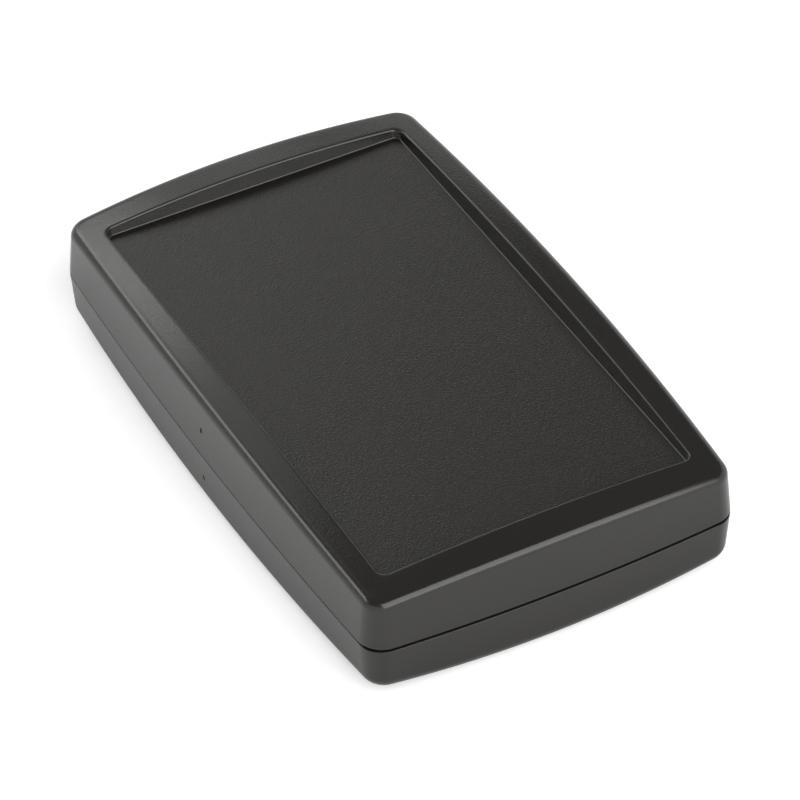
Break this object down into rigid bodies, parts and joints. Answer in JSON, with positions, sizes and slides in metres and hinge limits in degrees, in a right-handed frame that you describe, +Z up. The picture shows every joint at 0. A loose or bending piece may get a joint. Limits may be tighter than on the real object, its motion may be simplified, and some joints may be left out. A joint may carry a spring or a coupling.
{
  "type": "electronics enclosure",
  "caption": "Hand-held moulded enclosure in two screwed halves, with bowed sides and a crowned top that holds a flat recessed panel for a keypad or label.",
  "frame": {"origin": "centre of the flat base", "axes": "+Z up through the recessed panel, +Y along the case's length, +X across its width"},
  "size_m": [0.074, 0.12, 0.0238],
  "materials": {
    "case_plastic": "black, fine moulded grain with a satin sheen",
    "screw_steel": "zinc-plated steel"
  },
  "bodies": {
    "root": {"upper_shell": "case_plastic", "lower_shell": "case_plastic", "case_screw_1": "screw_steel", "case_screw_2": "screw_steel", "case_screw_3": "screw_steel", "case_screw_4": "screw_steel"}
  },
  "joints": []
}
